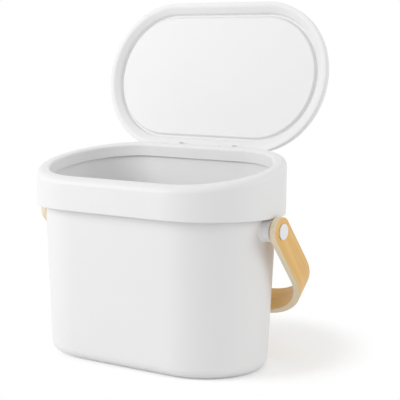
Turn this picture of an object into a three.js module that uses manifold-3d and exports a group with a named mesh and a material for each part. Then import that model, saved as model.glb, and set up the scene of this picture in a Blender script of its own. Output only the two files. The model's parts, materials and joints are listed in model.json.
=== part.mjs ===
import * as THREE from 'three';
import { mergeVertices } from 'three/addons/utils/BufferGeometryUtils.js';
import Module from 'manifold-3d';

const wasm = await Module();
wasm.setup();

// Driving sizes in millimetres. The object stands on z = 0, its long side along x and its back towards +y.
// Top ring
const collarLength = 246.5;
const collarDepth = 142.5;
const collarHeight = 41.6;
const rimSlopeShare = 0.186;
const rimRound = 5.5;
const rimInnerRound = 2.5;
const rimTopWall = 2.4;
const collarWall = 2.4;
const collarEdgeRound = 1.2;
const collarLipWall = 2;
const innerSkirtWall = 2;
const innerSkirtDrop = 12;
const channelChamfer = 3.5;

// Body
const seamHeight = 138.4;
const bodyBaseInset = 14;
const bodyWall = 2.2;
const floorWall = 3;
const baseRound = 9;
const floorRound = 6;

// Gaps between pieces
const seatGap = 0.3;
const slideGap = 0.6;
const lidGap = 0.4;

// Lid
const lidSetback = 0.3;
const lidHeight = 11;
const lidCrown = 0.8;
const lidTopRound = 6;
const lidWall = 2;
const lidOpenDegrees = 113;
const landWidth = 4.3;
const landEdgeRound = 0.6;
const slopeRound = 1.5;
const slopeDepth = 3.8;
const grooveInset = 10.1;
const grooveWidth = 3.9;
const grooveDraft = 0.6;
const panelRecess = 4;
const panelRound = 0.9;
const linerWall = 1.8;

// Hinge
const hingeInset = 2;
const lidBackGap = 0.8;
const hingeSpacing = 60;
const hingeBlockLength = 36;
const hingeBlockDrop = 10;
const knuckleLength = 14;
const knuckleRadius = 3.4;
const notchDrop = 5;
const hingePinRadius = 1;
const hingePinLength = 28;

// Handle, a bent strip of laminated wood, and how far it keeps from the collar and the body
const handleWidth = 25;
const handleThickness = 6.4;
const handleBend = 58.5;
const strapGap = 1.4;
const swingGap = 6.5;
const restGap = 1.3;

// Handle pivots
const bossRadius = 10;
const bossDrop = 0.5;
const pinRadius = 3.8;
const capRadius = 7;
const capThickness = 1.1;
const capRound = 0.6;
const washerRadius = 9;
const washerThickness = 1.6;
const nutRadius = 8;
const nutThickness = 5;
const nutRound = 1;
const nutCover = 1.2;

// Wall mount behind the body, and its screws
const mountLength = 76;
const mountHeight = 44;
const mountDrop = 12;
const mountStand = 15;
const mountCornerRound = 6;
const mountWall = 2.4;
const mountBackWall = 3;
const mountBossRadius = 4.4;
const mountScrewSpacing = 60;
const keyholeSpacing = 28;
const keyholeRadius = 4.5;
const keyholeSlotRadius = 2.2;
const keyholeRise = 9;
const screwRadius = 1.9;
const screwLength = 16;
const screwHeadRadius = 4;
const screwHeadThickness = 2.2;

// Pads under the floor
const padRadius = 7;
const padThickness = 1.8;
const padInset = 12.9;
const padTurnDegrees = 70;

// One overrun serves every cut
const overrun = 5;

// Facets of each kind of round
const endSteps = 20;
const roundSteps = 3;
const bendSteps = 10;
const smallSides = 20;

// Places worked out from the sizes above
const endCentreX = (collarLength - collarDepth) / 2;
const backY = collarDepth / 2;
const rimHeight = seamHeight + collarHeight;
const bodyTop = rimHeight - rimTopWall - seatGap;
const bodyTopInset = hingeInset + knuckleRadius + 2 * slideGap + seatGap;
const skirtInset = bodyInset(rimHeight - innerSkirtDrop) + bodyWall + slideGap;
const rimWidth = skirtInset + innerSkirtWall;
const grooveDepth = lidHeight - lidWall - seatGap - linerWall;
const panelInset = grooveInset + grooveWidth;
const hingeDrop = hingeInset + lidBackGap;
const rimPlaneTurn = Math.atan(rimSlopeShare);
const planeStretch = 1 / Math.cos(rimPlaneTurn);
const hingeY = backY - hingeInset;
const hingeZ = rimHeight + rimSlopeShare * hingeY + (lidGap - hingeDrop) * planeStretch;
const lidCentreY = hingeDrop * rimSlopeShare - hingeY * planeStretch;
const pivotHeight = seamHeight - bossDrop - bossRadius;
const strapInnerX = collarLength / 2 + strapGap;
const handleSpan = 2 * (strapInnerX + handleThickness);
const handleInnerReach = Math.hypot(backY, rimHeight + rimSlopeShare * backY - pivotHeight) + swingGap;
const handleReach = handleInnerReach + handleThickness;
const bossEndX = strapInnerX - washerThickness - 2 * seatGap;
const shaftRadius = pinRadius + seatGap;
const mountBottom = seamHeight - mountDrop - mountHeight;
const mountMiddle = mountBottom + mountHeight / 2;
const mountReach = backY + mountStand;
const screwSeatY = backY - bodyInset(mountMiddle - screwHeadRadius) - bodyWall - seatGap;

// Colours and finishes
const whitePlastic = { color: 0xf1f1f1, roughness: 0.45, metalness: 0 };
const whiteTrim = { color: 0xf5f5f6, roughness: 0.35, metalness: 0 };
const wood = { color: 0xe0b468, roughness: 0.55, metalness: 0 };
const steel = { color: 0xb9bcc0, roughness: 0.3, metalness: 1 };
const rubber = { color: 0xc9c9c9, roughness: 0.9, metalness: 0 };

// A quarter round, from the start of the round to its end, as pairs of shares of its radius
function quarterRound(steps = roundSteps) {
  return Array.from({ length: steps + 1 }, (_, i) => {
    const turn = (i / steps) * (Math.PI / 2);
    return [1 - Math.cos(turn), Math.sin(turn)];
  });
}

// One ring of points round the long oval with half-round ends, drawn in from the ring's outline by an inset
function ovalRing({ inset, z, tilt = 0 }, stretch = 1, grow = 0) {
  const radius = backY + grow - inset;
  const ring = [];
  for (const side of [1, -1]) {
    for (let i = 0; i <= endSteps; i += 1) {
      const turn = Math.PI * (i / endSteps - side / 2);
      const y = radius * Math.sin(turn) * stretch;
      ring.push(new THREE.Vector3(
        side * endCentreX + radius * Math.cos(turn), y, z + tilt * rimSlopeShare * y));
    }
  }
  return ring;
}

// A closed skin through rings: capped at its first and last ring, or joined round into a loop
function loft(rings, looped = false) {
  const count = rings[0].length;
  const positions = rings.flat().flatMap((p) => [p.x, p.y, p.z]);
  const faces = [];
  const spans = looped ? rings.length : rings.length - 1;
  for (let k = 0; k < spans; k += 1) {
    const next = (k + 1) % rings.length;
    for (let i = 0; i < count; i += 1) {
      const j = (i + 1) % count;
      faces.push(k * count + i, k * count + j, next * count + j);
      faces.push(k * count + i, next * count + j, next * count + i);
    }
  }
  if (!looped) {
    const last = (rings.length - 1) * count;
    for (let i = 1; i < count - 1; i += 1) {
      faces.push(0, i + 1, i);
      faces.push(last, last + i, last + i + 1);
    }
  }
  const geometry = new THREE.BufferGeometry();
  geometry.setAttribute('position', new THREE.Float32BufferAttribute(positions, 3));
  geometry.setIndex(faces);
  return geometry;
}

// Between a closed geometry and a solid that can be cut and joined
function toSolid(geometry) {
  const bare = geometry.clone();
  bare.deleteAttribute('normal');
  bare.deleteAttribute('uv');
  const merged = mergeVertices(bare);
  return new wasm.Manifold(new wasm.Mesh({
    numProp: 3,
    vertProperties: new Float32Array(merged.attributes.position.array),
    triVerts: new Uint32Array(merged.index.array),
  }));
}

function toGeometry(solid) {
  const mesh = solid.getMesh();
  const geometry = new THREE.BufferGeometry();
  geometry.setAttribute('position', new THREE.Float32BufferAttribute(mesh.vertProperties, 3));
  geometry.setIndex(new THREE.Uint32BufferAttribute(mesh.triVerts, 1));
  geometry.computeVertexNormals();
  return geometry;
}

// A rod along x from one place to another
function rodX(radius, fromX, toX, y, z) {
  const rod = new THREE.CylinderGeometry(radius, radius, Math.abs(toX - fromX), smallSides);
  rod.rotateZ(Math.PI / 2);
  rod.translate((fromX + toX) / 2, y, z);
  return rod;
}

// A rod along y from one place to another
function rodY(radius, fromY, toY, x, z) {
  const rod = new THREE.CylinderGeometry(radius, radius, Math.abs(toY - fromY), smallSides);
  rod.translate(x, (fromY + toY) / 2, z);
  return rod;
}

// A block between two corners
function block(fromX, toX, fromY, toY, fromZ, toZ) {
  const box = new THREE.BoxGeometry(toX - fromX, toY - fromY, toZ - fromZ);
  box.translate((fromX + toX) / 2, (fromY + toY) / 2, (fromZ + toZ) / 2);
  return box;
}

function mesh(name, geometry, finish) {
  const piece = new THREE.Mesh(geometry, new THREE.MeshStandardMaterial(finish));
  piece.name = name;
  return piece;
}

// How far the body's outside stands in from the ring's outline at a height
function bodyInset(z) {
  return bodyBaseInset + (bodyTopInset - bodyBaseInset) * (z / bodyTop);
}

// The body's outside from its floor to its top edge
function bodyOutside() {
  const base = quarterRound().map(([back, rise]) => ({
    inset: bodyInset(0) + baseRound * (1 - rise),
    z: baseRound * back,
  }));
  return [
    ...base,
    { inset: bodyInset(seamHeight), z: seamHeight },
    { inset: bodyInset(bodyTop), z: bodyTop, tilt: 1 },
  ];
}

function bodyShell() {
  const inside = quarterRound().reverse().map(([back, rise]) => ({
    inset: bodyInset(0) + bodyWall + floorRound * (1 - rise),
    z: floorWall + floorRound * back,
  }));
  const profile = [
    ...bodyOutside(),
    { inset: bodyInset(bodyTop) + bodyWall, z: bodyTop, tilt: 1 },
    { inset: bodyInset(seamHeight) + bodyWall, z: seamHeight },
    ...inside,
  ];
  return toSolid(loft(profile.map((row) => ovalRing(row))));
}

// The body: a tapered bucket with a boss at each end for the handle, and holes for its fixings
function makeBody() {
  let solid = bodyShell();
  const cavity = toSolid(loft([
    { inset: bodyInset(floorWall) + bodyWall, z: floorWall + floorRound },
    { inset: bodyInset(seamHeight) + bodyWall, z: seamHeight },
  ].map((row) => ovalRing(row))));
  const wallX = collarLength / 2 - bodyInset(pivotHeight);
  for (const side of [-1, 1]) {
    const boss = toSolid(rodX(bossRadius, side * (wallX - overrun), side * bossEndX, 0, pivotHeight));
    solid = solid.add(boss.subtract(cavity));
    solid = solid.subtract(toSolid(rodX(
      shaftRadius, side * (wallX - bodyWall - overrun), side * (bossEndX + overrun), 0, pivotHeight)));
    solid = solid.subtract(toSolid(rodY(
      screwRadius + seatGap, screwSeatY - overrun, backY, side * mountScrewSpacing / 2, mountMiddle)));
  }
  for (const { x, y } of padPlaces()) {
    const pocket = padRound(padRadius + seatGap, padThickness + seatGap + overrun);
    pocket.translate(x, y, -overrun);
    solid = solid.subtract(toSolid(pocket));
  }
  return mesh('body', toGeometry(solid), whitePlastic);
}

// The collar: a hollow ring over the body's top edge, its rim sloping up to the back, notched for the hinges
function collarProfile() {
  const lipReach = bodyInset(bodyTop) - slideGap;
  const edge = quarterRound().map(([back, rise]) => ({
    inset: collarEdgeRound * (1 - rise),
    z: seamHeight + collarEdgeRound * back,
  }));
  const outer = quarterRound(roundSteps + 2).map(([back, rise]) => ({
    inset: rimRound * back,
    z: rimHeight - rimRound * (1 - rise),
    tilt: 1,
  }));
  const inner = quarterRound().map(([back, rise]) => ({
    inset: rimWidth - rimInnerRound * (1 - rise),
    z: rimHeight - rimInnerRound * back,
    tilt: 1,
  }));
  return [
    ...edge,
    ...outer,
    ...inner,
    { inset: rimWidth, z: rimHeight - innerSkirtDrop, tilt: 1 },
    { inset: skirtInset, z: rimHeight - innerSkirtDrop, tilt: 1 },
    { inset: skirtInset, z: rimHeight - rimTopWall, tilt: 1 },
    { inset: collarWall + channelChamfer, z: rimHeight - rimTopWall, tilt: 1 },
    { inset: collarWall, z: rimHeight - rimTopWall - channelChamfer, tilt: 1 },
    { inset: collarWall, z: seamHeight + collarLipWall },
    { inset: lipReach, z: seamHeight + collarLipWall },
    { inset: lipReach, z: seamHeight },
  ];
}

function makeCollar() {
  let solid = toSolid(loft(collarProfile().map((row) => ovalRing(row)), true));
  const whole = toSolid(loft([
    { inset: collarWall / 2, z: seamHeight },
    { inset: collarWall / 2, z: rimHeight - rimRound, tilt: 1 },
    { inset: rimRound / 2, z: rimHeight - rimTopWall / 2, tilt: 1 },
  ].map((row) => ovalRing(row))));
  const bodyBackY = backY - bodyInset(bodyTop);
  const overRim = hingeZ + knuckleRadius + 2 * overrun;
  for (const side of [-1, 1]) {
    const x = side * hingeSpacing / 2;
    const cheeks = block(
      x - hingeBlockLength / 2, x + hingeBlockLength / 2,
      bodyBackY + slideGap, backY, hingeZ - hingeBlockDrop, overRim);
    solid = solid.add(toSolid(cheeks).intersect(whole));
    const reach = knuckleLength / 2 + slideGap;
    const notch = block(
      x - reach, x + reach,
      hingeY - knuckleRadius - 2 * slideGap, backY + overrun, hingeZ - notchDrop, overRim);
    solid = solid.subtract(toSolid(notch));
    const boreReach = hingePinLength / 2 + seatGap;
    solid = solid.subtract(toSolid(rodX(
      hingePinRadius + seatGap, x - boreReach, x + boreReach, hingeY, hingeZ)));
  }
  return mesh('collar', toGeometry(solid), whitePlastic);
}

function makeHingePins() {
  return [['left', -1], ['right', 1]].map(([name, side]) => {
    const x = side * hingeSpacing / 2;
    const pin = rodX(hingePinRadius, x - hingePinLength / 2, x + hingePinLength / 2, hingeY, hingeZ);
    return mesh(`hinge_pin_${name}`, pin, steel);
  });
}

// A ring of the lid: its inset from the lid's edge and its height over the lid's land, in the lid's own frame
function lidRing({ inset, z }) {
  return ovalRing({ inset, z }, planeStretch, -lidSetback).map(
    (p) => new THREE.Vector3(p.x, p.y + lidCentreY, p.z + hingeDrop));
}

// The lid's cover, a shallow dish upside down
function makeLidShell() {
  const foot = linerWall + seatGap;
  const top = quarterRound().map(([back, rise]) => ({
    inset: lidTopRound * back,
    z: lidHeight - lidTopRound * (1 - rise),
  }));
  const crownInset = backY / 2;
  const profile = [
    { inset: crownInset, z: lidHeight + lidCrown - lidWall },
    { inset: lidTopRound, z: lidHeight - lidWall },
    { inset: lidWall, z: lidHeight - lidTopRound },
    { inset: lidWall, z: foot },
    { inset: 0, z: foot },
    ...top,
    { inset: crownInset, z: lidHeight + lidCrown },
  ];
  return mesh('lid_shell', toGeometry(toSolid(loft(profile.map(lidRing)))), whitePlastic);
}

// Points round a corner of the lid's profile, from a reach before the corner to the same reach after it
function softCorner(before, corner, after, reach) {
  const towards = (end) => {
    const inset = end.inset - corner.inset;
    const z = end.z - corner.z;
    return { inset: inset / Math.hypot(inset, z), z: z / Math.hypot(inset, z) };
  };
  const from = towards(before);
  const to = towards(after);
  return Array.from({ length: roundSteps + 1 }, (_, i) => {
    const near = reach * (1 - i / roundSteps) ** 2;
    const far = reach * (i / roundSteps) ** 2;
    return {
      inset: corner.inset + from.inset * near + to.inset * far,
      z: corner.z + from.z * near + to.z * far,
    };
  });
}

// The lid's lining: the land on the rim, a slope down to a narrow groove, the recessed panel, two knuckles
function makeLidLiner() {
  const middle = { inset: backY, z: panelRecess };
  const panelEdge = { inset: panelInset, z: panelRecess };
  const grooveInner = { inset: panelInset - 2 * grooveDraft, z: grooveDepth };
  const grooveOuter = { inset: grooveInset + grooveDraft, z: grooveDepth };
  const slopeFoot = { inset: grooveInset, z: slopeDepth };
  const landInner = { inset: landWidth, z: 0 };
  const landOuter = { inset: landEdgeRound, z: 0 };
  const slopeShare = (grooveInset - landWidth) / slopeDepth;
  const slopeWall = linerWall * Math.hypot(1, slopeShare);
  const backSlope = (inset) => ({ inset, z: (inset + slopeWall - landWidth) / slopeShare });
  const grooveBack = grooveDepth + linerWall;
  const profile = [
    ...softCorner(middle, panelEdge, grooveInner, panelRound),
    grooveInner,
    grooveOuter,
    slopeFoot,
    ...softCorner(slopeFoot, landInner, landOuter, slopeRound),
    landOuter,
    { inset: 0, z: landEdgeRound },
    { inset: 0, z: linerWall },
    backSlope(landWidth + slopeShare * linerWall - slopeWall),
    backSlope(grooveInset - linerWall),
    { inset: grooveOuter.inset - linerWall, z: grooveBack },
    { inset: grooveInner.inset + linerWall / 2, z: grooveBack },
    { inset: panelInset + linerWall / 2, z: panelRecess + linerWall },
  ];
  let solid = toSolid(loft(profile.map(lidRing)));
  for (const side of [-1, 1]) {
    const x = side * hingeSpacing / 2;
    const barrel = rodX(knuckleRadius, x - knuckleLength / 2, x + knuckleLength / 2, 0, 0);
    const arm = block(
      x - knuckleLength / 2, x + knuckleLength / 2,
      -knuckleRadius, knuckleRadius, 0, hingeDrop + linerWall / 2);
    solid = solid.add(toSolid(barrel)).add(toSolid(arm));
    solid = solid.subtract(toSolid(rodX(
      hingePinRadius + seatGap, x - knuckleLength, x + knuckleLength, 0, 0)));
  }
  return mesh('lid_liner', toGeometry(solid), whitePlastic);
}

// The handle: a strip bent into a wide U, its ends rounded about the pivots, hanging down in its own frame
function makeHandle() {
  const outer = handleSpan / 2;
  const bendX = outer - handleBend;
  const bendZ = handleBend - handleReach;
  const innerBend = handleBend - handleThickness;
  const strip = new THREE.Shape();
  strip.moveTo(outer, handleWidth);
  strip.lineTo(outer, bendZ);
  strip.absarc(bendX, bendZ, handleBend, 0, -Math.PI / 2, true);
  strip.lineTo(-bendX, -handleReach);
  strip.absarc(-bendX, bendZ, handleBend, -Math.PI / 2, -Math.PI, true);
  strip.lineTo(-outer, handleWidth);
  strip.lineTo(-strapInnerX, handleWidth);
  strip.lineTo(-strapInnerX, bendZ);
  strip.absarc(-bendX, bendZ, innerBend, Math.PI, 1.5 * Math.PI, false);
  strip.lineTo(bendX, -handleInnerReach);
  strip.absarc(bendX, bendZ, innerBend, 1.5 * Math.PI, 2 * Math.PI, false);
  strip.lineTo(strapInnerX, handleWidth);
  strip.closePath();
  const band = new THREE.ExtrudeGeometry(strip, {
    depth: handleWidth, bevelEnabled: false, curveSegments: bendSteps });
  band.rotateX(Math.PI / 2);
  band.translate(0, handleWidth / 2, 0);

  const side = new THREE.Shape();
  side.moveTo(-handleWidth, -handleReach - overrun);
  side.lineTo(-handleWidth, 0);
  side.lineTo(-handleWidth / 2, 0);
  side.absarc(0, 0, handleWidth / 2, Math.PI, 0, true);
  side.lineTo(handleWidth, 0);
  side.lineTo(handleWidth, -handleReach - overrun);
  side.closePath();
  const ends = new THREE.ExtrudeGeometry(side, {
    depth: handleSpan + 2 * overrun, bevelEnabled: false, curveSegments: bendSteps });
  ends.rotateX(Math.PI / 2);
  ends.rotateZ(Math.PI / 2);
  ends.translate(-handleSpan / 2 - overrun, 0, 0);
  let solid = toSolid(band).intersect(toSolid(ends));
  solid = solid.subtract(toSolid(rodX(shaftRadius, -handleSpan, handleSpan, 0, 0)));
  return mesh('handle', toGeometry(solid), wood);
}

// A turned piece on the pivot's line, its profile given as radius and distance out along x
function turnedX(points, side) {
  const turned = new THREE.LatheGeometry(points.map(([r, x]) => new THREE.Vector2(r, x)), smallSides);
  turned.rotateZ(-Math.PI / 2);
  if (side < 0) turned.rotateZ(Math.PI);
  return toGeometry(toSolid(turned));
}

// The pivots: a capped pin through the strip, a washer against the boss, and a cap nut inside the body
function makePivot(name, side) {
  const outerX = handleSpan / 2 + seatGap;
  const wallX = collarLength / 2 - bodyInset(pivotHeight) - bodyWall;
  const sag = nutRadius * nutRadius / (2 * (backY - bodyInset(pivotHeight) - bodyWall));
  const nutOuterX = wallX - sag - seatGap * 2;
  const nutInnerX = nutOuterX - nutThickness;
  const shaftEndX = nutInnerX + nutCover + seatGap;
  const capEndX = outerX + capThickness;
  const pin = [
    [0, shaftEndX], [pinRadius, shaftEndX], [pinRadius, outerX], [capRadius, outerX],
    [capRadius, capEndX - capRound], [capRadius - capRound, capEndX], [0, capEndX + capRound / 2],
  ];
  const washerInX = bossEndX + seatGap;
  const washer = [
    [shaftRadius, washerInX], [washerRadius, washerInX], [washerRadius, washerInX + washerThickness],
    [shaftRadius, washerInX + washerThickness], [shaftRadius, washerInX],
  ];
  const nut = [
    [0, nutInnerX], [nutRadius - nutRound, nutInnerX], [nutRadius, nutInnerX + nutRound],
    [nutRadius, nutOuterX], [shaftRadius, nutOuterX],
    [shaftRadius, nutInnerX + nutCover], [0, nutInnerX + nutCover],
  ];
  return [
    mesh(`handle_pin_${name}`, turnedX(pin, side), whiteTrim),
    mesh(`handle_washer_${name}`, turnedX(washer, side), whiteTrim),
    mesh(`pin_nut_${name}`, turnedX(nut, side), whiteTrim),
  ];
}

// The wall mount: a hollow block screwed behind the body, with two keyholes in its back
function makeWallMount() {
  const outline = new THREE.Shape();
  const halfX = mountLength / 2;
  const halfZ = mountHeight / 2;
  const cornerX = halfX - mountCornerRound;
  const cornerZ = halfZ - mountCornerRound;
  outline.moveTo(-cornerX, -halfZ);
  outline.absarc(cornerX, -cornerZ, mountCornerRound, -Math.PI / 2, 0);
  outline.absarc(cornerX, cornerZ, mountCornerRound, 0, Math.PI / 2);
  outline.absarc(-cornerX, cornerZ, mountCornerRound, Math.PI / 2, Math.PI);
  outline.absarc(-cornerX, -cornerZ, mountCornerRound, Math.PI, 1.5 * Math.PI);
  const frontY = backY - bodyInset(mountBottom) - overrun;
  const shell = new THREE.ExtrudeGeometry(outline, {
    depth: mountReach - frontY, bevelEnabled: false, curveSegments: roundSteps });
  shell.rotateX(Math.PI / 2);
  shell.translate(0, mountReach, mountMiddle);
  const insideY = mountReach - mountBackWall;
  let solid = toSolid(shell).subtract(toSolid(block(
    mountWall - halfX, halfX - mountWall, frontY - overrun, insideY,
    mountBottom + mountWall, mountBottom + mountHeight - mountWall)));
  for (const side of [-1, 1]) {
    const bossX = side * mountScrewSpacing / 2;
    const screwEndY = screwSeatY + screwLength + seatGap;
    solid = solid.add(toSolid(rodY(
      mountBossRadius, frontY, insideY + mountBackWall / 2, bossX, mountMiddle)));
    solid = solid.subtract(toSolid(rodY(
      screwRadius + seatGap, frontY - overrun, screwEndY, bossX, mountMiddle)));
    const keyX = side * keyholeSpacing / 2;
    const keyZ = mountMiddle - keyholeRise / 2;
    const slotZ = mountMiddle + keyholeRise / 2;
    const fromY = insideY - overrun;
    const toY = mountReach + overrun;
    solid = solid.subtract(toSolid(rodY(keyholeRadius, fromY, toY, keyX, keyZ)));
    solid = solid.subtract(toSolid(rodY(keyholeSlotRadius, fromY, toY, keyX, slotZ)));
    solid = solid.subtract(toSolid(block(
      keyX - keyholeSlotRadius, keyX + keyholeSlotRadius, fromY, toY, keyZ, slotZ)));
  }
  const body = toSolid(loft(bodyOutside().map((row) => ovalRing({ ...row, inset: row.inset - seatGap }))));
  return mesh('wall_mount', toGeometry(solid.subtract(body)), whitePlastic);
}

// The wall mount's screws, their heads inside the body
function makeMountScrews() {
  return [['left', -1], ['right', 1]].map(([name, side]) => {
    const x = side * mountScrewSpacing / 2;
    const headY = screwSeatY - screwHeadThickness;
    const head = toSolid(rodY(screwHeadRadius, headY, screwSeatY, x, mountMiddle));
    const shank = toSolid(rodY(
      screwRadius, headY + screwHeadThickness / 2, screwSeatY + screwLength, x, mountMiddle));
    return mesh(`mount_screw_${name}`, toGeometry(head.add(shank)), steel);
  });
}

// Where the pads go: round the centre of each half-round end, in from the edge of the flat underside
function padPlaces() {
  const turn = THREE.MathUtils.degToRad(padTurnDegrees);
  const reach = backY - bodyBaseInset - baseRound - padInset;
  return [['front', -1], ['back', 1]].flatMap(([depthName, end]) => [['left', -1], ['right', 1]].map(
    ([sideName, side]) => ({
      name: `pad_${depthName}_${sideName}`,
      x: side * (endCentreX + reach * Math.cos(turn)),
      y: end * reach * Math.sin(turn),
    })));
}

// A round that stands on z = 0
function padRound(radius, thickness) {
  const round = new THREE.CylinderGeometry(radius, radius, thickness, smallSides);
  round.rotateX(Math.PI / 2);
  round.translate(0, 0, thickness / 2);
  return round;
}

function makePads() {
  return padPlaces().map(({ name, x, y }) => {
    const pad = padRound(padRadius, padThickness);
    pad.translate(x, y, 0);
    return mesh(name, pad, rubber);
  });
}

// How far the handle leans back before the bow's lower edge comes to rest by the body's tapered back
function handleLean() {
  const taper = (bodyBaseInset - bodyTopInset) / bodyTop;
  const toEdge = Math.hypot(handleInnerReach, handleWidth / 2) * Math.hypot(1, taper);
  const across = backY - bodyBaseInset + taper * pivotHeight + restGap;
  return Math.asin(across / toEdge) - Math.atan(taper) + Math.atan(handleWidth / 2 / handleInnerReach);
}

// The lid stands open, leaning back past upright
const lid = new THREE.Group();
lid.add(makeLidShell(), makeLidLiner());
lid.position.set(0, hingeY, hingeZ);
lid.rotation.x = rimPlaneTurn - THREE.MathUtils.degToRad(lidOpenDegrees);

// The handle leans back until its bow is at the body
const handle = new THREE.Group();
handle.add(makeHandle());
handle.position.set(0, 0, pivotHeight);
handle.rotation.x = handleLean();

const pivots = [...makePivot('left', -1), ...makePivot('right', 1)];
pivots.forEach((piece) => piece.geometry.translate(0, 0, pivotHeight));

const bin = new THREE.Group();
bin.add(makeBody(), makeCollar(), ...makeHingePins(), lid, handle, ...pivots);
bin.add(makeWallMount(), ...makeMountScrews(), ...makePads());

export default bin;
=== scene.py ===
"""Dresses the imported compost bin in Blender: smooth moulded shells, a laminated wood handle, its fittings,
the floor, the lamps and the camera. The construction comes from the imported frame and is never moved."""

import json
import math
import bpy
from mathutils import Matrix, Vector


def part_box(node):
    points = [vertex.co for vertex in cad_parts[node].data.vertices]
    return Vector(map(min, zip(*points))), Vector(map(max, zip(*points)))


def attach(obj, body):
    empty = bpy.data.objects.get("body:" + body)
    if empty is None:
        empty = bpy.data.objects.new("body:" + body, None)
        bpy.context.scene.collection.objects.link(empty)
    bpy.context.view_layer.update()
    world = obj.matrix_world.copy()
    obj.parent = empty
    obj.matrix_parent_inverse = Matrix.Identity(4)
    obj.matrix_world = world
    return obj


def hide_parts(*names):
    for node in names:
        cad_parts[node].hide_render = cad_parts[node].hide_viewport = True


bl_info = {
    "name": "Compost Bin",
    "version": (1, 0, 0),
    "blender": (4, 5, 0),
    "location": "View3D > Sidebar > Compost Bin",
    "description": "Models and finishes the pieces of an oval kitchen compost bin around its packed frame",
    "category": "Add Mesh",
}

import bmesh
import bpy
from bpy.props import FloatProperty, FloatVectorProperty, IntProperty, PointerProperty
from bpy.types import Operator, Panel, PropertyGroup
from mathutils import Matrix, Vector

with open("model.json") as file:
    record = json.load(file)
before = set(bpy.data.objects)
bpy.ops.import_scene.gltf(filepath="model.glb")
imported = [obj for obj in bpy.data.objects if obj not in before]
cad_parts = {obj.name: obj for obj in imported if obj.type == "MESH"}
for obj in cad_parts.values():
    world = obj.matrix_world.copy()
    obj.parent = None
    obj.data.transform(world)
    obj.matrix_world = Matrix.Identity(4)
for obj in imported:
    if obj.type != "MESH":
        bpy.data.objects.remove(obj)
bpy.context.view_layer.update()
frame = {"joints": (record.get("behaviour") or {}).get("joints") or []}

JOINTS = {joint["name"]: joint for joint in frame["joints"]}
LID_HINGE = Vector(JOINTS["lid_hinge"]["pos_m"])
LID_TRAVEL = math.radians(JOINTS["lid_hinge"]["range_deg"][1])
HANDLE_PIVOT = Vector(JOINTS["handle_swing"]["pos_m"])
COLLAR_LOW, COLLAR_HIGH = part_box("collar")
OVAL_RADIUS = (COLLAR_HIGH.y - COLLAR_LOW.y) / 2
OVAL_END_X = (COLLAR_HIGH.x - COLLAR_LOW.x) / 2 - OVAL_RADIUS
SEAM_HEIGHT = COLLAR_LOW.z
MM = 0.001

# Points closer together than this are one
MERGE = 0.002 * MM

# Facets of the long oval's half turns, of large and small round pieces, and of the handle's bends and ends
OVAL_STEPS, ROUND_STEPS, ROD_STEPS, SMALL_STEPS = 56, 64, 48, 32
BEND_STEPS, END_STEPS = 28, 40

# Facets of a small round in a profile, and folds of the handle that get a round
LEAST_FACETS, FACETS_PER_MM = 3, 1.2
SHARP_FOLD = math.radians(60)

# Rounds on the edges of the fittings, from soft to crisp
SOFT_EDGE, PLAIN_EDGE, FINE_EDGE, CRISP_EDGE = 0.4 * MM, 0.3 * MM, 0.2 * MM, 0.15 * MM

# Handle pins, and the holes in the washers and nuts round them
PIN_RADIUS, PIN_HOLE = 3.8 * MM, 4.1 * MM
CAP_THICKNESS, CAP_DROP, CAP_ROUND = 1.4 * MM, 0.3 * MM, 0.6 * MM
CAP_DOME = ((0.66, 0.13 * MM), (0.33, 0.03 * MM), (0, 0))  # share of the cap's radius, drop below its middle
NUT_COVER = 1.2 * MM

# Mount screws: shank, head and the cross in it
SCREW_RADIUS, SCREW_HEAD, SCREW_SIDE = 1.9 * MM, 2.2 * MM, 0.5 * MM
SCREW_DOME = ((0, 0), (0.5, 0.15 * MM), (0.85, 0.9 * MM))  # share of the head's radius, drop below its middle
CROSS_REACH, CROSS_HALF_WIDTH, CROSS_DEPTH = 2.2 * MM, 0.5 * MM, 1.1 * MM

# How deep a boss starts in the body's wall and a hinge block ends in the collar's, as shares of the wall
BOSS_SINK, BLOCK_SINK = 0.75, 0.9

# The lid's crown: share of its half depth in from its edge, share of its full rise
CROWN = ((0.16, 0.42), (0.3, 0.8), (0.5, 1))

# Lamps: name, the setting for its power, its width in metres, its place and what it points at
LAMPS = (
    ("Key lamp", "key", 1.0, (-1.05, -1.2, 0.85), (0, 0, 0.12)),
    ("Fill lamp", "fill", 0.8, (1.5, 0.35, 0.7), (0, 0, 0.1)),
    ("Top lamp", "top", 1.2, (0, 0.1, 1.7), (0, 0, 0)),
)


# Sizes and colours that a user would change


def length(name, description, millimetres):
    return FloatProperty(
        name=name,
        description=description,
        default=millimetres * MM,
        min=0,
        precision=5,
        unit="LENGTH",
        subtype="DISTANCE",
    )


def angle(name, description, degrees):
    return FloatProperty(
        name=name, description=description, default=math.radians(degrees), unit="ROTATION", subtype="ANGLE"
    )


def share(name, description, default):
    return FloatProperty(name=name, description=description, default=default, min=0, max=1, subtype="FACTOR")


def colour(name, description, default):
    return FloatVectorProperty(
        name=name, description=description, default=default, min=0, max=1, size=3, subtype="COLOR"
    )


def strength(name, description, default, unit="NONE"):
    return FloatProperty(name=name, description=description, default=default, min=0, unit=unit)


def count(name, description, default):
    return IntProperty(name=name, description=description, default=default, min=3)


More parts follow.
